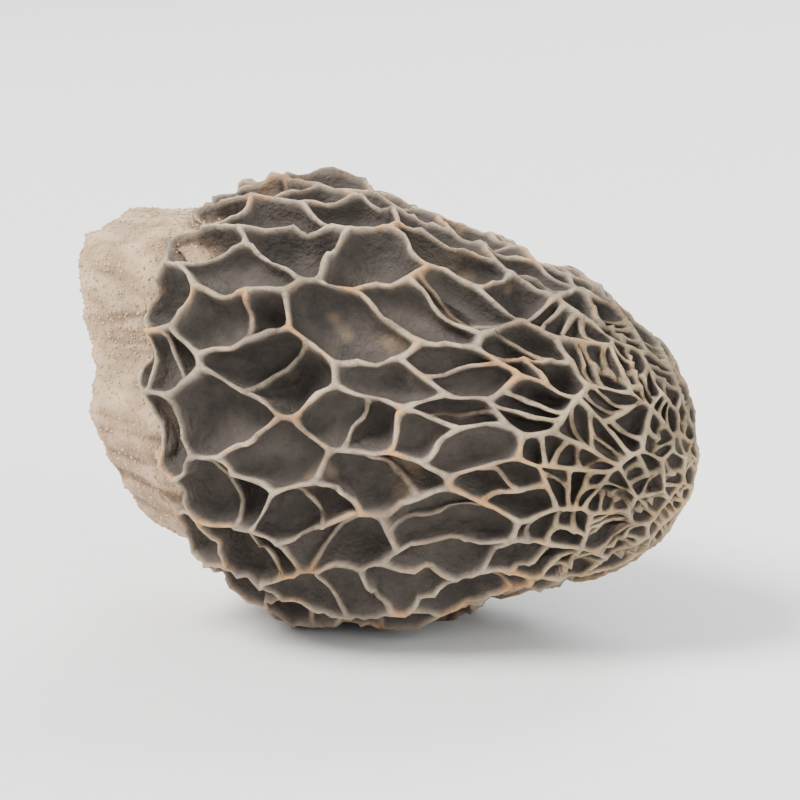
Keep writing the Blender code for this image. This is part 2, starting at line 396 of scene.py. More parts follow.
def ridge_net(cells, lowered):
    """Points along every ridge: a dict from cell edge to the corner it starts from and its inner points.

    It also gives samples of the crests for the colour of the flesh: (place, how strong the ridge is, 0 to 1).
    """
    inner = {}
    samples = [(vertex.co.copy(), 1.0) for vertex in cells.verts]
    for edge in cells.edges:
        first, second = edge.verts
        length = edge.calc_length()
        steps = max(2, round(length / RIDGE_STEP))
        outward = sum((face.normal for face in edge.link_faces), Vector()).normalized()
        depth = edge[lowered] * PIT_DEPTH
        points = []
        for step in range(1, steps):
            share = step / steps
            place = first.co.lerp(second.co, share)
            free = math.sin(math.pi * share)
            sag = SAG_LEAST + SAG_SWING * noise.noise(place / SAG_SIZE + LUMP_PLACES[1])
            dip = max(RIDGE_SAG * length * free * sag, -HIGHEST_CREST) + depth * free ** DIP_BLUNTNESS
            dip += JAG_HEIGHT * noise.noise(place / JAG_SIZE)
            points.append(swayed(place, share, length) - outward * dip)
        inner[edge] = (first, points)
        strength = 1.0 - DIP_FADE * edge[lowered]
        line = [first.co] + points + [second.co]
        for start, end in zip(line, line[1:]):
            for part in range(CREST_PARTS):
                samples.append((start.lerp(end, part / CREST_PARTS), strength))
    return inner, samples


def smoothed(ring, times, much=0.5):
    for _ in range(times):
        ring = ring * (1 - much) + (np.roll(ring, 1, axis=0) + np.roll(ring, -1, axis=0)) * much / 2
    return ring


def cap_cage():
    """The cap before its pits are sunk: crests and shoulders, with one face over each pit.

    Each point of a pit's edge knows where it goes at the pit's floor, and where the middle of that floor is.
    """
    cells, depth_layer, lowered = all_cells()
    inner, samples = ridge_net(cells, lowered)
    points = []
    floors = []
    middles = []
    faces = []
    is_pit = []
    index = {}

    def add(place, floor, middle):
        points.append(place)
        floors.append(floor)
        middles.append(middle)
        return len(points) - 1

    for vertex in cells.verts:
        index[vertex] = add(vertex.co, vertex.co, vertex.co)
    for edge, (first, line) in inner.items():
        index[edge] = [add(point, point, point) for point in line]
    corners = [vertex.co.copy() for vertex in cells.verts]
    dice = random.Random(SEED + 2)
    for cell in cells.faces:
        rim = []
        for loop in cell.loops:
            rim.append(index[loop.vert])
            line = index[loop.edge]
            rim.extend(line if inner[loop.edge][0] == loop.vert else line[::-1])
        crest = np.array([points[i] for i in rim])
        normal = np.array(cell.normal)
        width = half_width(cell)
        middle = np.array(cell.calc_center_median_weighted())
        along = np.roll(crest, -1, axis=0) - np.roll(crest, 1, axis=0)
        inward = np.cross(normal, along)
        inward /= np.linalg.norm(inward, axis=1)[:, None] + 1e-12
        half = min(RIDGE_THICKNESS / 2, WIDEST_SHOULDER * width)
        rough = np.array([noise.noise(Vector(point) / JAG_SIZE + LUMP_PLACES[2]) for point in crest])
        shoulder = smoothed(crest + inward * (half * (1 + RIDGE_UNEVENNESS * rough))[:, None], 2)
        even = crest + (middle - crest) * half / width
        shoulder = shoulder * (1 - SHOULDER_EVENNESS) + even * SHOULDER_EVENNESS - normal * SHOULDER_DROP
        depth = max(cell[depth_layer], SHALLOWEST_PIT * width) * dice.uniform(*DEPTH_CHANCE)
        depth = min(depth, DEEPEST_PIT, STEEPEST_PIT * width)
        shrink = dice.uniform(*FLOOR_SHRINK)
        floor = smoothed(middle + (crest - middle) * (1 - shrink), 4)
        level = (floor - middle) @ normal
        floor = floor - normal * (level * FLOOR_LEVELLING + depth * FLOOR_DEPTH)[:, None]
        tilt = np.array([dice.uniform(-1, 1) for _ in range(3)]) * FLOOR_TILT * width
        low = middle + tilt - normal * depth * dice.uniform(*MIDDLE_DEPTH)
        ring = [add(Vector(s), Vector(f), Vector(low)) for s, f in zip(shoulder, floor)]
        count = len(rim)
        for i in range(count):
            j = (i + 1) % count
            faces.append((rim[i], rim[j], ring[j], ring[i]))
            is_pit.append(False)
        faces.append(tuple(ring))
        is_pit.append(True)
    cells.free()
    mesh = bpy.data.meshes.new("cap")
    mesh.from_pydata([tuple(point) for point in points], [], faces)
    for name, values in (("shoulder_place", points), ("floor_place", floors), ("pit_middle", middles)):
        attribute = mesh.attributes.new(name, "FLOAT_VECTOR", "POINT")
        attribute.data.foreach_set("vector", np.array([tuple(value) for value in values]).ravel())
    attribute = mesh.attributes.new("pit", "BOOLEAN", "FACE")
    attribute.data.foreach_set("value", is_pit)
    return mesh, samples, corners


def named_vector(tree, name):
    node = tree.nodes.new("GeometryNodeInputNamedAttribute")
    node.data_type = "FLOAT_VECTOR"
    node.inputs["Name"].default_value = name
    return node.outputs["Attribute"]


def vector_sum(tree, first, second, operation="ADD"):
    node = tree.nodes.new("ShaderNodeVectorMath")
    node.operation = operation
    tree.links.new(first, node.inputs[0])
    tree.links.new(second, node.inputs[1])
    return node.outputs[0]


def scaled(tree, vector, factor):
    node = tree.nodes.new("ShaderNodeVectorMath")
    node.operation = "SCALE"
    tree.links.new(vector, node.inputs[0])
    if isinstance(factor, (int, float)):
        node.inputs["Scale"].default_value = factor
    else:
        tree.links.new(factor, node.inputs["Scale"])
    return node.outputs[0]


def number(tree, operation, *values):
    node = tree.nodes.new("ShaderNodeMath")
    node.operation = operation
    for socket, value in zip(node.inputs, values):
        if isinstance(value, (int, float)):
            socket.default_value = value
        else:
            tree.links.new(value, socket)
    return node.outputs[0]


def wrinkles(tree, position, size, seed):
    """Noise from -0.5 to 0.5 over lumps of the given size."""
    node = tree.nodes.new("ShaderNodeTexNoise")
    node.noise_dimensions = "4D"
    node.inputs["W"].default_value = seed
    node.inputs["Detail"].default_value = 1.0
    tree.links.new(position, node.inputs["Vector"])
    tree.links.new(number(tree, "DIVIDE", 1.0, size), node.inputs["Scale"])
    return number(tree, "SUBTRACT", node.outputs[0], 0.5)


def sink_pits_tree():
    """Geometry nodes that sink each pit from its shoulder down its wall and across its floor, ring by ring."""
    tree = bpy.data.node_groups.new("sink_pits", "GeometryNodeTree")
    face = tree.interface
    face.new_socket("Geometry", in_out="INPUT", socket_type="NodeSocketGeometry")
    for name, value in (
        ("Wall Share", 0.78),
        ("Wall Steepness", 1.35),
        ("Floor Start", 0.42),
        ("Floor Reach", 0.80),
        ("Floor Bend", 1.25),
        ("Wrinkle Height", 0.26 * MM),
        ("Wrinkle Size", 1.25 * MM),
        ("Fine Wrinkle Height", 0.10 * MM),
        ("Fine Wrinkle Size", 0.5 * MM),
    ):
        face.new_socket(name, in_out="INPUT", socket_type="NodeSocketFloat").default_value = value
    face.new_socket("Rings", in_out="INPUT", socket_type="NodeSocketInt").default_value = PIT_RINGS
    face.new_socket("Flesh", in_out="INPUT", socket_type="NodeSocketMaterial")
    face.new_socket("Geometry", in_out="OUTPUT", socket_type="NodeSocketGeometry")
    given = tree.nodes.new("NodeGroupInput").outputs
    result = tree.nodes.new("NodeGroupOutput")

    pit = tree.nodes.new("GeometryNodeInputNamedAttribute")
    pit.data_type = "BOOLEAN"
    pit.inputs["Name"].default_value = "pit"
    start = tree.nodes.new("GeometryNodeRepeatInput")
    end = tree.nodes.new("GeometryNodeRepeatOutput")
    start.pair_with_output(end)
    end.repeat_items.new("BOOLEAN", "Top")
    tree.links.new(given["Rings"], start.inputs["Iterations"])
    tree.links.new(given["Geometry"], start.inputs["Geometry"])
    tree.links.new(pit.outputs["Attribute"], start.inputs["Top"])

    extrude = tree.nodes.new("GeometryNodeExtrudeMesh")
    extrude.mode = "FACES"
    extrude.inputs["Offset Scale"].default_value = 0.0
    extrude.inputs["Individual"].default_value = True
    tree.links.new(start.outputs["Geometry"], extrude.inputs["Mesh"])
    tree.links.new(start.outputs["Top"], extrude.inputs["Selection"])

    ring = number(tree, "ADD", start.outputs["Iteration"], 1.0)
    share = number(tree, "DIVIDE", ring, given["Rings"])
    down = number(tree, "MINIMUM", number(tree, "DIVIDE", share, given["Wall Share"]), 1.0)
    still = number(tree, "SUBTRACT", 1.0, down)
    wall = number(tree, "SUBTRACT", 1.0, number(tree, "POWER", still, given["Wall Steepness"]))
    past = number(tree, "MAXIMUM", number(tree, "SUBTRACT", share, given["Floor Start"]), 0.0)
    across = number(tree, "DIVIDE", past, number(tree, "SUBTRACT", 1.0, given["Floor Start"]))
    floor = number(tree, "MULTIPLY", number(tree, "POWER", across, given["Floor Bend"]), given["Floor Reach"])

    shoulder = named_vector(tree, "shoulder_place")
    floor_place = named_vector(tree, "floor_place")
    middle = named_vector(tree, "pit_middle")
    down_wall = scaled(tree, vector_sum(tree, floor_place, shoulder, "SUBTRACT"), wall)
    over_floor = scaled(tree, vector_sum(tree, middle, floor_place, "SUBTRACT"), floor)
    place = vector_sum(tree, vector_sum(tree, shoulder, down_wall), over_floor)
    move = tree.nodes.new("GeometryNodeSetPosition")
    tree.links.new(extrude.outputs["Mesh"], move.inputs["Geometry"])
    tree.links.new(extrude.outputs["Top"], move.inputs["Selection"])
    tree.links.new(place, move.inputs["Position"])
    tree.links.new(move.outputs["Geometry"], end.inputs["Geometry"])
    tree.links.new(extrude.outputs["Top"], end.inputs["Top"])

    position = tree.nodes.new("GeometryNodeInputPosition").outputs[0]
    normal = tree.nodes.new("GeometryNodeInputNormal").outputs[0]
    coarse = wrinkles(tree, position, given["Wrinkle Size"], 3.0)
    fine = wrinkles(tree, position, given["Fine Wrinkle Size"], 8.0)
    height = number(
        tree, "ADD",
        number(tree, "MULTIPLY", coarse, given["Wrinkle Height"]),
        number(tree, "MULTIPLY", fine, given["Fine Wrinkle Height"]),
    )
    crumple = tree.nodes.new("GeometryNodeSetPosition")
    tree.links.new(end.outputs["Geometry"], crumple.inputs["Geometry"])
    tree.links.new(scaled(tree, normal, height), crumple.inputs["Offset"])
    realize = tree.nodes.new("GeometryNodeRealizeInstances")
    tree.links.new(crumple.outputs["Geometry"], realize.inputs[0])
    finish = tree.nodes.new("GeometryNodeSetMaterial")
    tree.links.new(realize.outputs[0], finish.inputs["Geometry"])
    tree.links.new(given["Flesh"], finish.inputs["Material"])
    tree.links.new(finish.outputs["Geometry"], result.inputs["Geometry"])
    return tree


def made_by_tree(made, tree, settings):
    """Puts a tree on an object with named settings and turns the result into the object's plain mesh."""
    modifier = made.modifiers.new(tree.name, "NODES")
    modifier.node_group = tree
    sockets = {item.name: item.identifier for item in tree.interface.items_tree if item.in_out == "INPUT"}
    for name, value in settings.items():
        modifier[sockets[name]] = value
    apply_modifiers(made)


def apply_modifiers(made):
    graph = bpy.context.evaluated_depsgraph_get()
    mesh = bpy.data.meshes.new_from_object(made.evaluated_get(graph))
    made.modifiers.clear()
    made.data = mesh


def object_from(mesh, name):
    made = bpy.data.objects.new(name, mesh)
    bpy.context.scene.collection.objects.link(made)
    return made


def only_material(mesh, flesh):
    mesh.shade_smooth()
    mesh.materials.clear()
    mesh.materials.append(flesh)
    mesh.polygons.foreach_set("material_index", np.zeros(len(mesh.polygons), dtype=np.int32))


def drop_slivers(mesh):
    """Takes out the faces without area that the booleans leave."""
    shape = bmesh.new()
    shape.from_mesh(mesh)
    bmesh.ops.dissolve_degenerate(shape, edges=shape.edges, dist=SLIVER)
    bmesh.ops.triangulate(shape, faces=[face for face in shape.faces if len(face.verts) > 4])
    shape.to_mesh(mesh)
    shape.free()


def lobed(turn):
    return sum(height * math.cos(waves * turn + phase) for waves, height, phase in LOBES)


def grid_solid(rows, name):
    """A closed solid through rows of ROUND points, with its first and last rows closed flat."""
    faces = []
    for row in range(len(rows) - 1):
        for i in range(ROUND):
            j = (i + 1) % ROUND
            a = row * ROUND
            faces.append((a + i, a + j, a + ROUND + j, a + ROUND + i))
    faces.append(tuple(reversed(range(ROUND))))
    faces.append(tuple(range((len(rows) - 1) * ROUND, len(rows) * ROUND)))
    mesh = bpy.data.meshes.new(name)
    mesh.from_pydata([tuple(point) for row in rows for point in row], [], faces)
    shape = bmesh.new()
    shape.from_mesh(mesh)
    bmesh.ops.recalc_face_normals(shape, faces=shape.faces)
    shape.to_mesh(mesh)
    shape.free()
    return object_from(mesh, name)


def stem_row(x, radius, furrows, waver, ribs):
    """A row round the stem: lobes, then ribs along it, then the unevenness of the cut."""
    row = []
    for i in range(ROUND):
        turn = 2 * math.pi * i / ROUND
        across = Vector((math.cos(turn), math.sin(turn), 0.0))
        out = radius * (1 + furrows * lobed(turn))
        rib = noise.noise(across * RIB_PITCH + Vector((0, 0, x / RIB_RUN)))
        fine = noise.noise(across * FINE_RIB_PITCH + Vector((0, 0, x / FINE_RIB_RUN)))
        out += ribs * (RIB_HEIGHT * rib + FINE_RIB_HEIGHT * fine) * MM
        y = out * math.cos(turn)
        z = out * math.sin(turn)
        uneven = CUT_WAVER * noise.noise(across * CUT_WAVER_PITCH) - CUT_SLANT * z
        torn = TORN_HEIGHT * noise.noise(across * TORN_PITCH + Vector((4, 4, 4)))
        row.append(Vector((x + waver * (uneven + torn), y, z)))
    return row


def add_stem():
    places, radii, furrows, wavers = np.array(STEM_RINGS)[::-1].T
    rows = []
    for x in np.concatenate([np.linspace(*stretch) for stretch in STEM_ROWS]):
        radius, furrow, waver = [np.interp(x, places, values) for values in (radii, furrows, wavers)]
        rows.append(stem_row(x, radius * STEM_RADIUS, furrow, waver, STEM_RIBS))
    for share in STEM_END_SHARES:
        radius = (1 - 1.5 * STEM_CURL) * share * STEM_RADIUS
        rows.append(stem_row(-STEM_STUB + CUT_DISH * (1 - share), radius, 1.0, 1.0, STEM_RIBS * share))
    return grid_solid(rows, "stem_stub")


def add_hollow(pit_middles):
    """The hollow: the stem's bore, widening under the pits, with the backs of the pits standing out in it."""
    backs = KDTree(len(pit_middles))
    for i, middle in enumerate(pit_middles):
        backs.insert(middle, i)
    backs.balance()
    under_pits = PIT_DEPTH + WALL
    last = CAP_LENGTH - under_pits - HOLLOW_END_WALL
    mouth = STEM_RADIUS * (1 - STEM_CURL) - MOUTH_WALL
    # Each known ring: place along X, radius, furrows.
    known = [(-STEM_STUB - 3 * MM, mouth, 1.0), (-0.75 * STEM_STUB, STEM_RADIUS - WALL, 1.0),
             (0.9 * MM, STEM_RADIUS - WALL, 0.8)]
    for step in range(HOLLOW_STEPS + 1):
        x = HOLLOW_FIRST + (last - HOLLOW_FIRST) * math.sin(math.pi / 2 * step / HOLLOW_STEPS)
        crest = np.interp(CAP_LENGTH - x, PROFILE[:, 0], PROFILE[:, 1])
        furrow = BORE_FURROWS * (1 - step / (HOLLOW_STEPS + 1))
        known.append((x, max(crest - under_pits, 1.2 * MM), furrow))
    xs, radii, furrows = np.array(known).T
    rows = []
    in_stem = np.linspace(xs[0], -STEM_STUB, 4)
    for x in np.concatenate((in_stem, np.linspace(-STEM_STUB + 0.3 * MM, last, HOLLOW_ROWS))):
        base = np.interp(x, xs, radii)
        amount = np.interp(x, xs, furrows)
        row = []
        for i in range(ROUND):
            turn = 2 * math.pi * i / ROUND
            across = Vector((0.0, math.cos(turn), math.sin(turn)))
            out = base * (1 + amount * lobed(turn))
            at_crest = Vector((x, 0, 0)) + across * (out + 3.0 * MM)
            near = backs.find(at_crest)[2]
            back = BACK_HEIGHT * math.exp(-((near / BACK_SIZE) ** 2)) if x > 2 * MM else 0.0
            rib = noise.noise(across * 6 + Vector((x / (5 * MM), 3, 0)))
            fine = noise.noise(across * 19 + Vector((x / (1.2 * MM), 0, 7)))
            out += (LINING_RIB_HEIGHT * rib + LINING_FINE_HEIGHT * fine) * MM - back
            row.append(Vector((x, 0, 0)) + across * max(out, NARROWEST_HOLLOW))
        rows.append(row)
    return grid_solid(rows, "hollow")


def add_boolean(body, other, operation):
    cut = body.modifiers.new(f"{operation.lower()}_{other.name}", "BOOLEAN")
    cut.operation = operation
    cut.object = other
    cut.solver = "MANIFOLD"


def dried(point):
    """Where a point of the straight, fresh shape ends up: slanted, flattened, lumpy and bent."""
    x, y, z = point
    z *= 1 - FLATTENING
    y *= 1 + FLATTENING / 3
    x -= SLANT * z * (1 - x / CAP_LENGTH)
    here = Vector((x, y, z)) / LUMP_SIZE
    x, y, z = [
        along + LUMP_HEIGHT * noise.noise(here + place) for along, place in zip((x, y, z), LUMP_PLACES)
    ]
    swing = BEND * (x / CAP_LENGTH)
    return Vector((x - y * math.sin(swing), y * math.cos(swing) + x * swing / 2, z))


def lay_down(points, corners):
    """Dried points placed as the frame's morel lies. The net's corners set the far corner of its box."""
    turned = Euler((0.0, PITCH, 0.0)).to_matrix()
    laid = np.array([turned @ dried(point) for point in points])
    net = np.array([turned @ dried(point) for point in corners])
    low, high = [np.array(corner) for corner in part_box("morel")]
    shift = high - net.max(axis=0)
    laid += shift
    height = laid[:, 2]
    laid[:, 2] = (height + np.sqrt(height ** 2 + PRESS_SOFTNESS ** 2)) / 2
    least, most = laid.min(axis=0), laid.max(axis=0)
    return low + (laid - least) * (high - low) / (most - least)


def nearest_values(points, samples):
    """For each point, the distance to the nearest sample and that sample's value."""
    tree = KDTree(len(samples))
    for i, (place, _) in enumerate(samples):
        tree.insert(place, i)
    tree.balance()
    found = [tree.find(point) for point in points]
    return np.array([item[2] for item in found]), np.array([samples[item[1]][1] for item in found])


def close_to(points, other, reach):
    """1 for each point that lies on the other solid's surface."""
    shape = BVHTree.FromObject(other, bpy.context.evaluated_depsgraph_get())
    return np.array([1.0 if shape.find_nearest(point, reach)[0] is not None else 0.0 for point in points])


def spread(mesh, values, times):
    """Values blurred along the mesh's edges."""
    edges = np.empty(len(mesh.edges) * 2, dtype=np.int64)
    mesh.edges.foreach_get("vertices", edges)
    first, second = edges.reshape(-1, 2).T
    count = np.bincount(edges, minlength=len(values)).astype(float)
    for _ in range(times):
        total = np.bincount(first, values[second], len(values))
        total += np.bincount(second, values[first], len(values))
        values = (values + total / np.maximum(count, 1)) / 2
    return values


def places_of(mesh):
    places = np.empty(len(mesh.vertices) * 3)
    mesh.vertices.foreach_get("co", places)
    return places.reshape(-1, 3)


def store(mesh, name, values):
    attribute = mesh.attributes.new(name, "FLOAT", "POINT")
    attribute.data.foreach_set("value", np.asarray(values, dtype=np.float32))


def grown_morel(flesh):
    """The whole morel as one closed mesh, with what its flesh needs to know stored on it."""
    mesh, samples, corners = cap_cage()
    morel = object_from(mesh, "dried_morel")
    made_by_tree(morel, sink_pits_tree(), {"Rings": PIT_RINGS, "Flesh": flesh})
    for name in ("shoulder_place", "floor_place", "pit_middle", "pit"):
        if name in morel.data.attributes:
            morel.data.attributes.remove(morel.data.attributes[name])
    stem = add_stem()
    hollow = add_hollow([on_cap(direction) for direction in pit_directions()])
    add_boolean(morel, stem, "UNION")
    add_boolean(morel, hollow, "DIFFERENCE")
    apply_modifiers(morel)
    mesh = morel.data
    drop_slivers(mesh)

    straight = [vertex.co.copy() for vertex in mesh.vertices]
    crest_distance, strength = nearest_values(straight, samples)
    corner_distance, _ = nearest_values(straight, [(corner, 1.0) for corner in corners])
    lining = close_to(straight, hollow, ON_SURFACE)
    on_stem = close_to(straight, stem, ON_SURFACE) * (1 - lining)
    ridge = np.clip(1 - (crest_distance - CREST_WIDTH) / CREST_FADE, 0, 1) * strength
    junction = np.clip(1 - corner_distance / JUNCTION_REACH, 0, 1)
    store(mesh, "ridge", spread(mesh, ridge, 1) * (1 - lining))
    store(mesh, "junction", junction)
    store(mesh, "sunk", spread(mesh, np.clip(crest_distance / SUNK_REACH, 0, 1), 2))
    store(mesh, "lining", spread(mesh, lining, 3))
    store(mesh, "stem", spread(mesh, on_stem, 4))
    store(mesh, "along", np.array([point.x for point in straight]) / CAP_LENGTH)
    mesh.vertices.foreach_set("co", lay_down(straight, corners).ravel())
    mesh.update()
    places = places_of(mesh)
    normals = np.empty(len(mesh.vertices) * 3, dtype=np.float32)
    mesh.vertex_normals.foreach_get("vector", normals)
    around = np.column_stack([spread(mesh, places[:, k], 2) for k in range(3)])
    bulge = np.einsum("ij,ij->i", places - around, normals.reshape(-1, 3)) / BULGE_REACH
    store(mesh, "bulge", np.clip(spread(mesh, bulge, 1), -1, 1) / 2 + 0.5)
    only_material(mesh, flesh)
    for helper in (stem, hollow):
        bpy.data.objects.remove(helper)
    return morel


def scatter_granules_tree():
    """Geometry nodes that scatter rough little granules over the stem, where its mask is strong."""
    tree = bpy.data.node_groups.new("scatter_granules", "GeometryNodeTree")
    face = tree.interface
    face.new_socket("Geometry", in_out="INPUT", socket_type="NodeSocketGeometry")
    for name, value in (
        ("Density", 2.6e7),
        ("Clump Size", 1.8 * MM),
        ("Evenness", 0.4),
        ("Smallest", 0.03 * MM),
        ("Largest", 0.10 * MM),
    ):
        face.new_socket(name, in_out="INPUT", socket_type="NodeSocketFloat").default_value = value
    face.new_socket("Seed", in_out="INPUT", socket_type="NodeSocketInt").default_value = 4
    face.new_socket("Flesh", in_out="INPUT", socket_type="NodeSocketMaterial")
    face.new_socket("Geometry", in_out="OUTPUT", socket_type="NodeSocketGeometry")
    given = tree.nodes.new("NodeGroupInput").outputs
    result = tree.nodes.new("NodeGroupOutput")

    mask = tree.nodes.new("GeometryNodeInputNamedAttribute")
    mask.data_type = "FLOAT"
    mask.inputs["Name"].default_value = "stem"
    position = tree.nodes.new("GeometryNodeInputPosition").outputs[0]
    clumps = number(tree, "ADD", wrinkles(tree, position, given["Clump Size"], 5.0), given["Evenness"])
    thick = number(tree, "MULTIPLY", number(tree, "POWER", mask.outputs["Attribute"], 3.0), clumps)
    scatter = tree.nodes.new("GeometryNodeDistributePointsOnFaces")
    tree.links.new(given["Geometry"], scatter.inputs["Mesh"])
    tree.links.new(number(tree, "MULTIPLY", thick, given["Density"]), scatter.inputs["Density"])
    tree.links.new(given["Seed"], scatter.inputs["Seed"])
    grain = tree.nodes.new("GeometryNodeMeshIcoSphere")
    grain.inputs["Radius"].default_value = 1.0
    grain.inputs["Subdivisions"].default_value = 1
    size = tree.nodes.new("FunctionNodeRandomValue")
    size.data_type = "FLOAT_VECTOR"
    for key, name in (("Min", "Smallest"), ("Max", "Largest")):
        tree.links.new(given[name], size.inputs[key])
    turn = tree.nodes.new("FunctionNodeRandomValue")
    turn.data_type = "FLOAT_VECTOR"
    turn.inputs["Max"].default_value = (2 * math.pi,) * 3
    place = tree.nodes.new("GeometryNodeInstanceOnPoints")
    tree.links.new(scatter.outputs["Points"], place.inputs["Points"])
    tree.links.new(grain.outputs["Mesh"], place.inputs["Instance"])
    tree.links.new(turn.outputs["Value"], place.inputs["Rotation"])
    tree.links.new(size.outputs["Value"], place.inputs["Scale"])
    realize = tree.nodes.new("GeometryNodeRealizeInstances")
    tree.links.new(place.outputs["Instances"], realize.inputs[0])
    finish = tree.nodes.new("GeometryNodeSetMaterial")
    tree.links.new(realize.outputs[0], finish.inputs["Geometry"])
    tree.links.new(given["Flesh"], finish.inputs["Material"])
    tree.links.new(finish.outputs["Geometry"], result.inputs["Geometry"])
    return tree


def stem_granules(morel, flesh):
    granules = object_from(morel.data.copy(), "stem_granules")
    made_by_tree(granules, scatter_granules_tree(), {"Seed": 4, "Flesh": flesh})
    only_material(granules.data, flesh)
    low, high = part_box("morel")
    places = np.clip(places_of(granules.data), low, high)
    granules.data.vertices.foreach_set("co", places.ravel())
    granules.data.update()
    return granules


def attribute_value(tree, name):
    node = tree.nodes.new("ShaderNodeAttribute")
    node.attribute_name = name
    return node.outputs["Fac"]


def remap(tree, value, low, high, to_low=0.0, to_high=1.0):
    node = tree.nodes.new("ShaderNodeMapRange")
    node.interpolation_type = "SMOOTHSTEP"
    tree.links.new(value, node.inputs["Value"])
    for name, amount in (("From Min", low), ("From Max", high), ("To Min", to_low), ("To Max", to_high)):
        node.inputs[name].default_value = amount
    return node.outputs["Result"]


def blend_colours(tree, share, first, second, kind="MIX"):
    node = tree.nodes.new("ShaderNodeMix")
    node.data_type = "RGBA"
    node.blend_type = kind
    for socket, value in ((node.inputs[0], share), (node.inputs[6], first), (node.inputs[7], second)):
        if isinstance(value, tuple):
            socket.default_value = (*value, 1.0)
        elif isinstance(value, float):
            socket.default_value = value
        else:
            tree.links.new(value, socket)
    return node.outputs[2]


def mottle_group():
    """A shader node group that puts out soft patches, from Least to Most, where noise runs from Low to High."""
    tree = bpy.data.node_groups.new("mottle", "ShaderNodeTree")
    face = tree.interface
    face.new_socket("Place", in_out="INPUT", socket_type="NodeSocketVector")
    for name, value in (
        ("Size", 1.0 * MM), ("Seed", 0.0), ("Detail", 4.0), ("Roughness", 0.55),
        ("Low", 0.35), ("High", 0.65), ("Least", 0.0), ("Most", 1.0),
    ):
        face.new_socket(name, in_out="INPUT", socket_type="NodeSocketFloat").default_value = value
    face.new_socket("Amount", in_out="OUTPUT", socket_type="NodeSocketFloat")
    given = tree.nodes.new("NodeGroupInput").outputs
    result = tree.nodes.new("NodeGroupOutput")
    patches = tree.nodes.new("ShaderNodeTexNoise")
    patches.noise_dimensions = "4D"
    tree.links.new(given["Place"], patches.inputs["Vector"])
    tree.links.new(given["Seed"], patches.inputs["W"])
    tree.links.new(number(tree, "DIVIDE", 1.0, given["Size"]), patches.inputs["Scale"])
    tree.links.new(given["Detail"], patches.inputs["Detail"])
    tree.links.new(given["Roughness"], patches.inputs["Roughness"])
    stretch = tree.nodes.new("ShaderNodeMapRange")
    stretch.interpolation_type = "SMOOTHSTEP"
    tree.links.new(patches.outputs["Fac"], stretch.inputs["Value"])
    for socket, name in (("From Min", "Low"), ("From Max", "High"), ("To Min", "Least"), ("To Max", "Most")):
        tree.links.new(given[name], stretch.inputs[socket])
    tree.links.new(stretch.outputs["Result"], result.inputs["Amount"])
    return tree


def mottle(tree, place, **settings):
    node = tree.nodes.new("ShaderNodeGroup")
    node.node_tree = bpy.data.node_groups["mottle"]
    tree.links.new(place, node.inputs["Place"])
    for name, value in settings.items():
        node.inputs[name].default_value = value
    return node.outputs["Amount"]


def new_material(name):
    """A material, with its tree, its shader and the place on the object that its patterns follow."""
    made = bpy.data.materials.new(name)
    made.use_nodes = True
    tree = made.node_tree
    return made, tree, tree.nodes["Principled BSDF"], tree.nodes.new("ShaderNodeTexCoord").outputs["Object"]


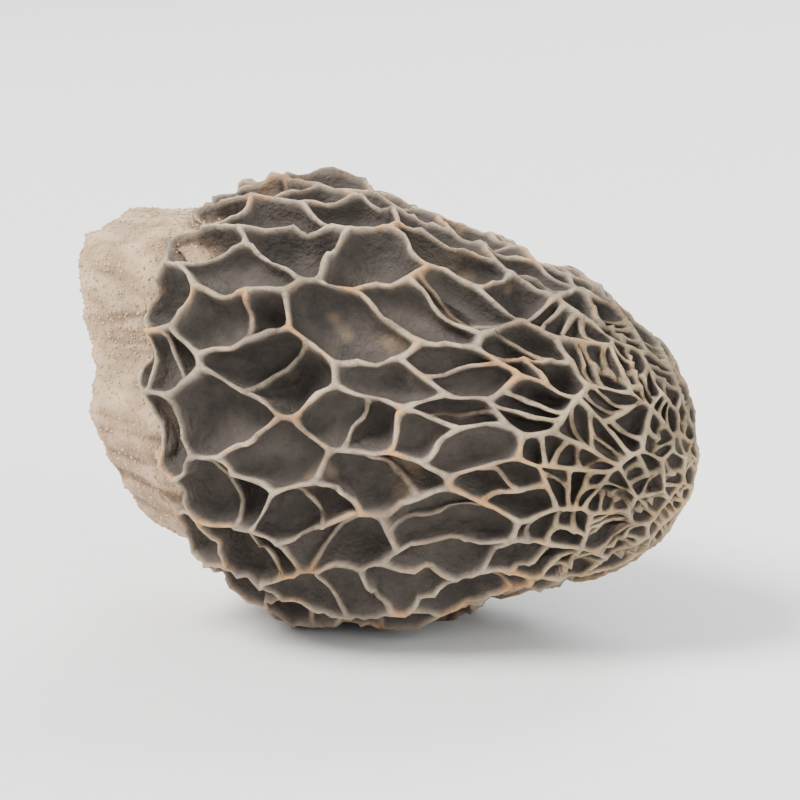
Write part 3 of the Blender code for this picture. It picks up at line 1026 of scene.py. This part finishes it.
def dried_flesh():
    """Grey-brown pits, darker deeper in as painted shade, pale beige crests that turn tan where they meet, a
    tan stem and a cream lining; painted shade darkens furrows and creases, and painted light brightens bulges.
    """
    flesh, tree, shader, where = new_material("dried_morel_flesh")
    names = ("ridge", "junction", "sunk", "lining", "stem", "along", "bulge")
    ridge, junction, sunk, lining, stem, along, bulge = [attribute_value(tree, name) for name in names]

    patches = mottle(tree, where, Size=4.2 * MM, Seed=1.0, Detail=3.0, Low=0.36, High=0.66)
    grain = mottle(tree, where, Size=0.45 * MM, Seed=2.0, Detail=5.0, Roughness=0.65, Low=0.3, High=0.7)
    blotch = mottle(tree, where, Size=1.6 * MM, Seed=3.0)

    pit = blend_colours(tree, patches, *PIT_COLOURS)
    # Painted shade: the pit darkens further from the crests, deeper in.
    deep = blend_colours(tree, blotch, *PIT_SHADE_COLOURS)
    pit = blend_colours(tree, remap(tree, sunk, 0.15, 0.75), pit, deep)
    warm = mottle(tree, where, Size=3.0 * MM, Seed=4.0, Detail=2.0, Low=0.58, High=0.70, Most=0.75)
    pit = blend_colours(tree, warm, pit, WARM_FLOOR)
    pit = blend_colours(tree, number(tree, "MULTIPLY", grain, 0.35), pit, PIT_DUST)

    crest = blend_colours(tree, blotch, *CREST_COLOURS)
    tan_here = mottle(tree, where, Size=2.6 * MM, Seed=5.0, Detail=3.0, Low=0.49, High=0.60)
    tan = number(tree, "MULTIPLY", remap(tree, junction, 0.0, 0.7, 0.25, 1.0), tan_here)
    crest = blend_colours(tree, tan, crest, CREST_TAN)
    tip = remap(tree, along, 0.70, 0.84, 0.0, 0.7)
    crest = blend_colours(tree, tip, crest, blend_colours(tree, blotch, *TIP_COLOURS))
    faded = mottle(tree, where, Size=5.5 * MM, Seed=7.0, Detail=2.0, Low=0.38, High=0.56, Least=0.45)
    shown = number(tree, "MULTIPLY", remap(tree, ridge, 0.1, 0.9), remap(tree, grain, 0.0, 0.5, 0.65, 1.0))
    shown = number(tree, "MULTIPLY", shown, faded)
    cap = blend_colours(tree, shown, pit, crest)

    stalk = blend_colours(tree, blotch, *STEM_COLOURS)
    # Painted shade in the stem's furrows.
    stalk = blend_colours(tree, remap(tree, bulge, 0.36, 0.53, 0.8, 0.0), stalk, STEM_FURROW_SHADE)
    stalk = blend_colours(tree, number(tree, "MULTIPLY", grain, 0.35), stalk, STEM_DUST)
    inside = blend_colours(tree, patches, *LINING_COLOURS)
    # Painted shade in the lining's furrows.
    inside = blend_colours(tree, remap(tree, bulge, 0.30, 0.6, 0.6, 0.0), inside, LINING_FURROW_SHADE)
    colour = blend_colours(tree, lining, blend_colours(tree, stem, cap, stalk), inside)
    # Painted shade and light over the whole flesh: darker in creases and hollows, lighter on bulges, from how
    # far each point stands out from its neighbours.
    painted_crease_shade_and_bulge_light = remap(tree, bulge, 0.2, 0.8, 0.78, 1.12)
    lit = blend_colours(tree, 1.0, colour, painted_crease_shade_and_bulge_light, "MULTIPLY")
    tree.links.new(lit, shader.inputs["Base Color"])
    tree.links.new(remap(tree, grain, 0.0, 1.0, 0.72, 0.93), shader.inputs["Roughness"])
    shader.inputs["Specular IOR Level"].default_value = 0.35

    creases = mottle(tree, where, Size=0.30 * MM, Seed=6.0, Roughness=0.6, Low=0.1, High=0.9)
    relief = number(tree, "ADD", creases, number(tree, "MULTIPLY", blotch, 0.5))
    bump = tree.nodes.new("ShaderNodeBump")
    bump.inputs["Strength"].default_value = BUMP_STRENGTH
    bump.inputs["Distance"].default_value = BUMP_DISTANCE
    tree.links.new(relief, bump.inputs["Height"])
    tree.links.new(bump.outputs["Normal"], shader.inputs["Normal"])
    return flesh


def mealy_granules():
    """The pale, dry meal on the stem."""
    meal, tree, shader, where = new_material("stem_meal")
    shade = mottle(tree, where, Size=0.4 * MM, Seed=11.0, Detail=3.0)
    tree.links.new(blend_colours(tree, shade, *MEAL_COLOURS), shader.inputs["Base Color"])
    shader.inputs["Roughness"].default_value = 0.9
    shader.inputs["Specular IOR Level"].default_value = 0.3
    return meal


def add_floor():
    paper, tree, shader, where = new_material("pale_floor")
    tooth = mottle(tree, where, Size=1.5 * MM, Seed=9.0, Detail=3.0, Low=0.2, High=0.8)
    tree.links.new(blend_colours(tree, tooth, *FLOOR_COLOURS), shader.inputs["Base Color"])
    shader.inputs["Roughness"].default_value = 0.7
    mesh = bpy.data.meshes.new("floor")
    corners = [(x * FLOOR_HALF, y * FLOOR_HALF, 0) for x, y in ((-1, -1), (1, -1), (1, 1), (-1, 1))]
    mesh.from_pydata(corners, [], [(0, 1, 2, 3)])
    mesh.materials.append(paper)
    floor = object_from(mesh, "floor")


def add_light(target, name, offset, size, power, colour):
    data = bpy.data.lights.new(name, "AREA")
    data.shape = "DISK"
    data.size = size
    data.energy = power
    data.color = colour
    lamp = bpy.data.objects.new(name, data)
    lamp.location = target + Vector(offset)
    lamp.rotation_euler = (target - lamp.location).to_track_quat("-Z", "Y").to_euler()
    bpy.context.scene.collection.objects.link(lamp)


def add_lights(target):
    for light in LIGHTS:
        add_light(target, *light)
    world = bpy.data.worlds.new("studio")
    world.use_nodes = True
    sky = world.node_tree.nodes["Background"]
    sky.inputs["Color"].default_value = WORLD_COLOUR
    sky.inputs["Strength"].default_value = WORLD_STRENGTH
    bpy.context.scene.world = world


def add_camera(target):
    """Low in front of the morel, a little towards its tip."""
    data = bpy.data.cameras.new("camera")
    data.lens = CAMERA_LENS
    data.clip_start = 0.005
    data.clip_end = 20.0
    camera = bpy.data.objects.new("camera", data)
    level = math.cos(CAMERA_ELEVATION)
    away = Vector((
        math.sin(CAMERA_AZIMUTH) * level, -math.cos(CAMERA_AZIMUTH) * level, math.sin(CAMERA_ELEVATION)
    ))
    camera.location = target + away * CAMERA_DISTANCE
    camera.rotation_euler = (-away).to_track_quat("-Z", "Y").to_euler()
    bpy.context.scene.collection.objects.link(camera)
    bpy.context.scene.camera = camera


def main():
    low, high = [Vector(corner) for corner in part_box("morel")]
    target = (low + high) / 2
    mottle_group()
    morel = grown_morel(dried_flesh())
    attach(morel, "root")
    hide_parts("morel")
    granules = stem_granules(morel, mealy_granules())
    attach(granules, "root")
    add_floor()
    add_lights(target)
    add_camera(target)


main()
